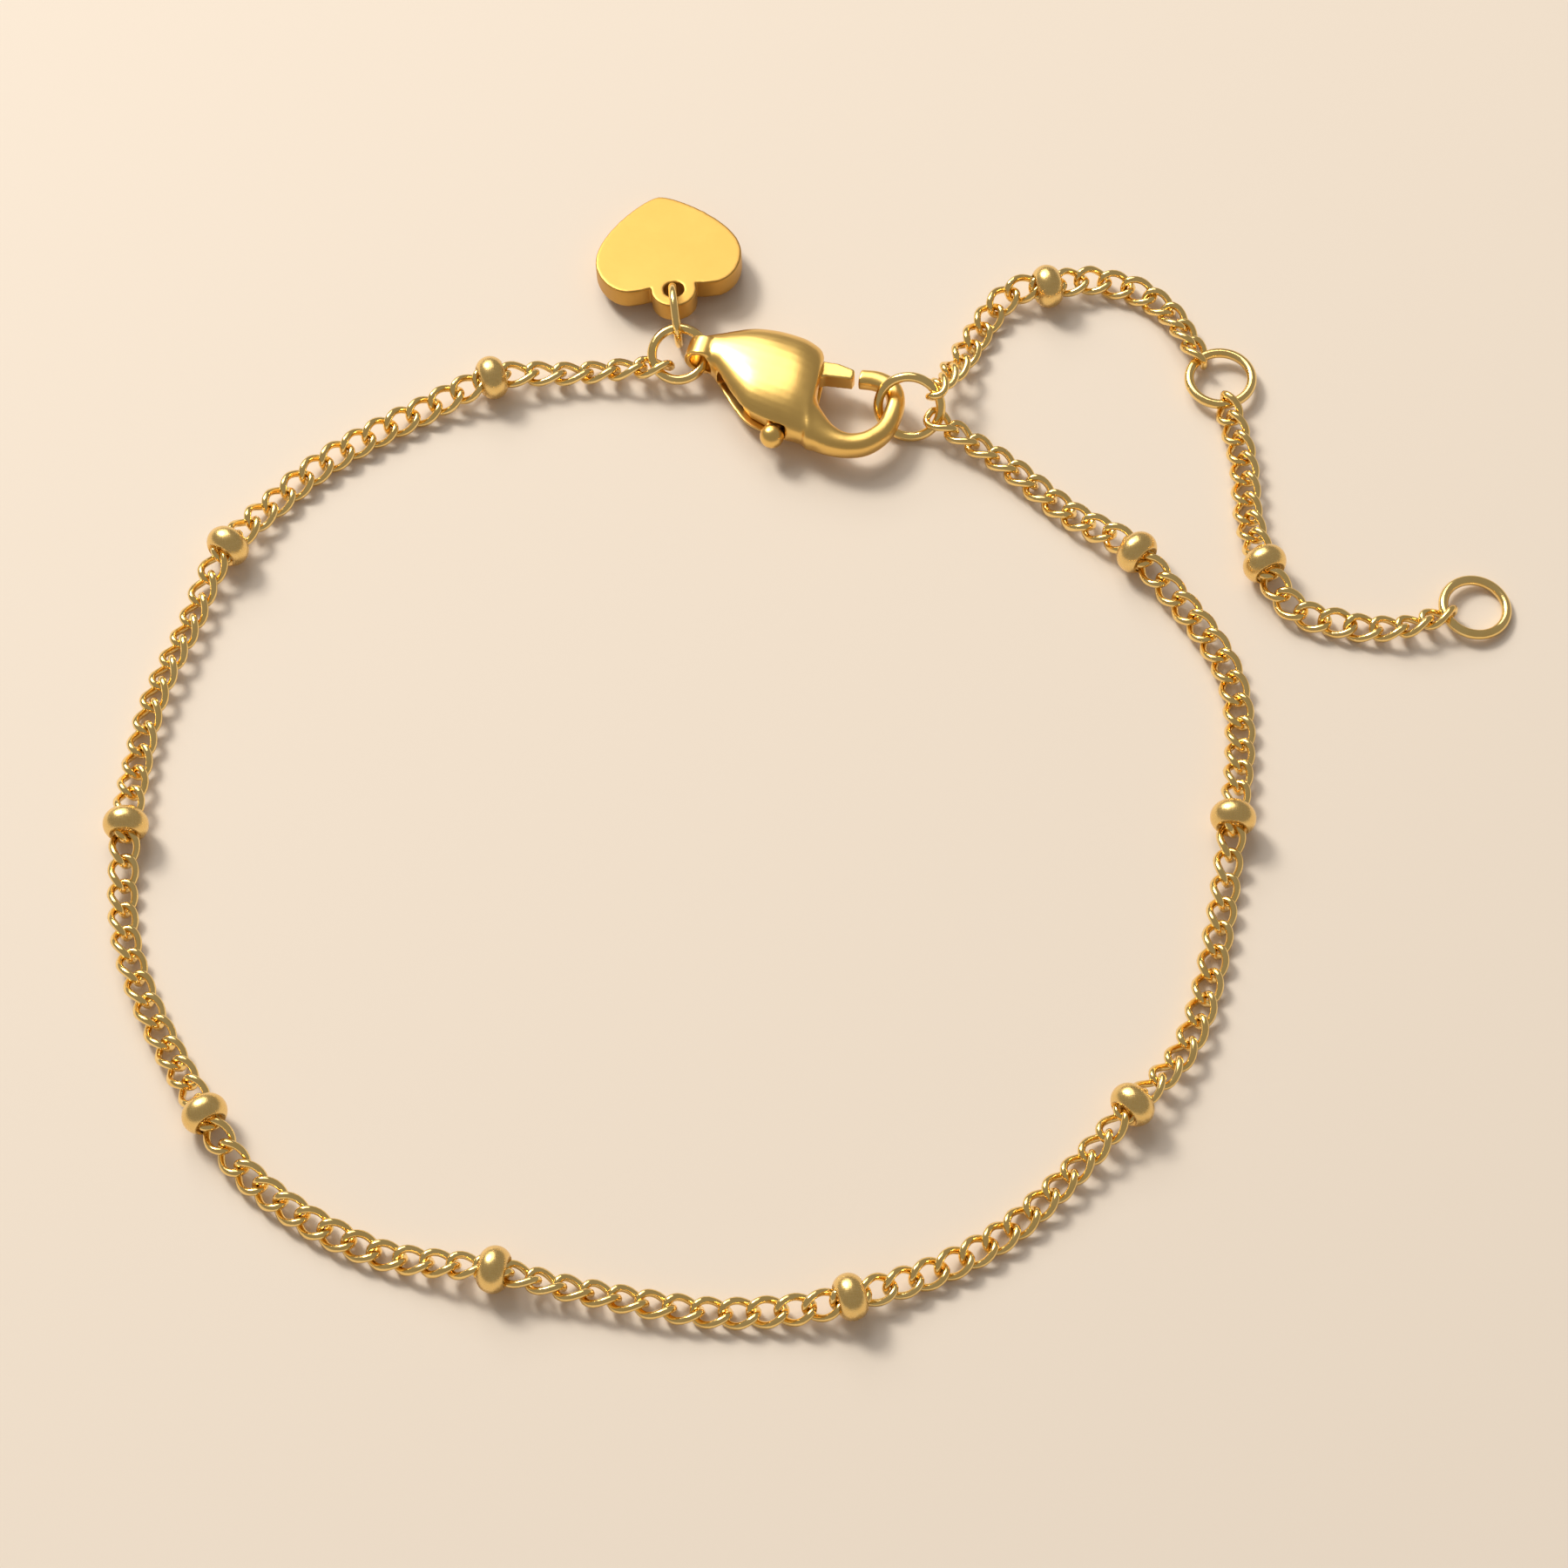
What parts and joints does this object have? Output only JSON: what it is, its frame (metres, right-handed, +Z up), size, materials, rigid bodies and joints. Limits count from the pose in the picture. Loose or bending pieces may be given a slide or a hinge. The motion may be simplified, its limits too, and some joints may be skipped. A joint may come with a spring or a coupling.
{
  "type": "beaded chain bracelet",
  "caption": "Gold-toned curb chain bracelet with round beads, a lobster clasp, a beaded extension chain and a small heart tag, lying closed.",
  "frame": {"origin": "centre of the bounding box on the surface that the bracelet lies on", "axes": "+Z up from the surface, +Y towards the clasp and the heart tag, +X towards the end of the extension chain"},
  "size_m": [0.0663, 0.0614, 0.0031],
  "materials": {
    "polished_gold": "polished gold-toned metal, near-mirror, with softened edges",
    "bead_gold": "polished gold-toned metal with fine scuffs",
    "satin_gold": "satin gold-toned metal, bare of any engraving"
  },
  "bodies": {
    "bracelet": {"chain_left": "polished_gold", "chain_right": "polished_gold", "bead_1": "bead_gold", "bead_2": "bead_gold", "bead_3": "bead_gold", "bead_4": "bead_gold", "bead_5": "bead_gold", "bead_6": "bead_gold", "bead_7": "bead_gold", "bead_8": "bead_gold", "bead_9": "bead_gold", "tail_ring": "polished_gold", "tag_ring": "polished_gold", "hook_ring": "polished_gold", "extension_chain": "polished_gold", "extension_bead": "bead_gold", "middle_ring": "polished_gold", "end_chain": "polished_gold", "end_bead": "bead_gold", "end_ring": "polished_gold", "clasp_body": "polished_gold", "heart_tag": "satin_gold"},
    "lever": {"clasp_lever": "polished_gold"}
  },
  "joints": [
    {"name": "clasp_lever_hinge", "type": "hinge", "parent": "bracelet", "child": "lever", "pos_m": [-0.00059, 0.01909, 0.0014], "axis": [0, 0, 1], "range_deg": [-25, 0], "stiffness_Nm_per_rad": 0.002, "springref_deg": 14.9}
  ]
}
